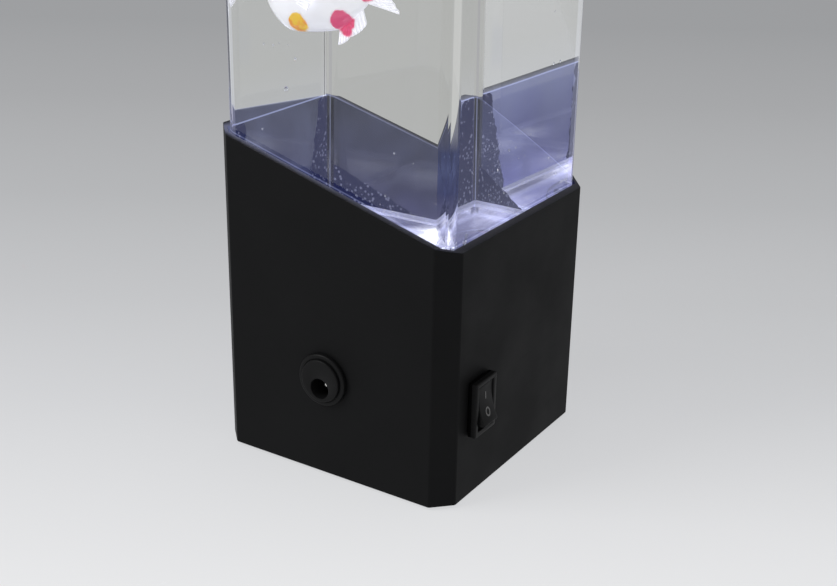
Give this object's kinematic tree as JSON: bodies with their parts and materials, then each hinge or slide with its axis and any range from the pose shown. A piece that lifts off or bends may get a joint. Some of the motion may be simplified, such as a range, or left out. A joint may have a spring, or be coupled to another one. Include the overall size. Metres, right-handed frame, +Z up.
{
  "type": "jellyfish lamp",
  "caption": "Square water-tank mood lamp: black base with a slanted rim, power jack and rocker switch, clear tank with drifting figures, black cap.",
  "frame": {"origin": "on the table plane, under the middle of the square base", "axes": "+Z up the tank, -Y out of the power jack face, +X out of the rocker switch face, where the base rim is low"},
  "size_m": [0.0787, 0.0783, 0.258],
  "materials": {
    "black_shell": "fine-textured black moulding",
    "black_plate": "satin black moulding",
    "black_rubber": "matt rubber",
    "screw_steel": "zinc-plated steel",
    "bright_nickel": "bright nickel plate",
    "contact_brass": "tinned brass contact",
    "motor_steel": "drawn steel can",
    "board_green": "green circuit board",
    "led_lens": "clear lamp lens, glowing blue-white",
    "white_nylon": "white nylon",
    "clear_acrylic": "clear polished acrylic",
    "magnet_dark": "dark ferrite magnet",
    "fish_white": "glossy white plastic with yellow and magenta patches",
    "jelly_pink": "translucent pink silicone",
    "jelly_yellow": "translucent yellow silicone",
    "wire_red": "red wire insulation",
    "wire_black": "black wire insulation"
  },
  "bodies": {
    "lamp": {"base_housing": "black_shell", "bottom_plate": "black_plate", "rubber_foot_1": "black_rubber", "rubber_foot_2": "black_rubber", "rubber_foot_3": "black_rubber", "rubber_foot_4": "black_rubber", "plate_screw_1": "screw_steel", "plate_screw_2": "screw_steel", "plate_screw_3": "screw_steel", "plate_screw_4": "screw_steel", "board_screw_1": "screw_steel", "board_screw_2": "screw_steel", "mount_screw_1": "screw_steel", "mount_screw_2": "screw_steel", "jack_housing": "black_plate", "jack_nut": "bright_nickel", "jack_pin": "bright_nickel", "jack_lug": "contact_brass", "switch_frame": "black_plate", "switch_terminal_1": "contact_brass", "switch_terminal_2": "contact_brass", "led_board": "board_green", "led_1": "led_lens", "led_2": "led_lens", "led_3": "led_lens", "led_4": "led_lens", "control_chip": "black_plate", "wire_socket": "white_nylon", "motor_mount": "black_plate", "drive_motor": "motor_steel", "tank_tube": "clear_acrylic", "tank_floor": "clear_acrylic", "tank_top": "clear_acrylic", "tank_gasket": "black_rubber", "impeller_pin": "screw_steel", "impeller_cover": "clear_acrylic", "jack_wire": "wire_black", "jack_switch_wire": "wire_red", "switch_wire": "wire_red", "motor_wire_1": "wire_red", "motor_wire_2": "wire_black"},
    "rocker": {"switch_rocker": "black_plate"},
    "rotor": {"motor_shaft": "screw_steel", "magnet_hub": "white_nylon", "hub_magnet_1": "magnet_dark", "hub_magnet_2": "magnet_dark"},
    "impeller": {"impeller": "white_nylon", "impeller_magnet_1": "magnet_dark", "impeller_magnet_2": "magnet_dark"},
    "cap": {"cap_shell": "black_shell"},
    "plug": {"fill_plug": "black_rubber"},
    "fish": {"fish_figure": "fish_white"},
    "jelly_large": {"jellyfish_1": "jelly_pink"},
    "jelly_small": {"jellyfish_2": "jelly_yellow"}
  },
  "joints": [
    {"name": "rocker_tilt", "type": "hinge", "parent": "lamp", "child": "rocker", "pos_m": [0.0366, -0.0259, 0.0282], "axis": [0, 1, 0], "range_deg": [0, 22]},
    {"name": "rotor_spin", "type": "hinge", "parent": "lamp", "child": "rotor", "pos_m": [0, 0, 0.0484], "axis": [0, 0, 1], "continuous": true},
    {"name": "impeller_spin", "type": "hinge", "parent": "lamp", "child": "impeller", "pos_m": [0, 0, 0.0562], "axis": [0, 0, 1], "continuous": true},
    {"name": "cap_lift", "type": "slide", "parent": "lamp", "child": "cap", "axis": [0, 0, 1], "range_m": [0, 0.055]},
    {"name": "plug_pull", "type": "slide", "parent": "lamp", "child": "plug", "axis": [0, 0, 1], "range_m": [0, 0.0052]},
    {"name": "fish_drift", "type": "slide", "parent": "lamp", "child": "fish", "axis": [0, 0, 1], "range_m": [-0.05, 0.095]},
    {"name": "jelly_large_drift", "type": "slide", "parent": "lamp", "child": "jelly_large", "axis": [0, 0, 1], "range_m": [-0.1, 0.038]},
    {"name": "jelly_small_drift", "type": "slide", "parent": "lamp", "child": "jelly_small", "axis": [0, 0, 1], "range_m": [-0.078, 0.065]}
  ],
  "couplings": [
    {"joint": "impeller_spin", "follows": "rotor_spin", "ratio": 1}
  ]
}
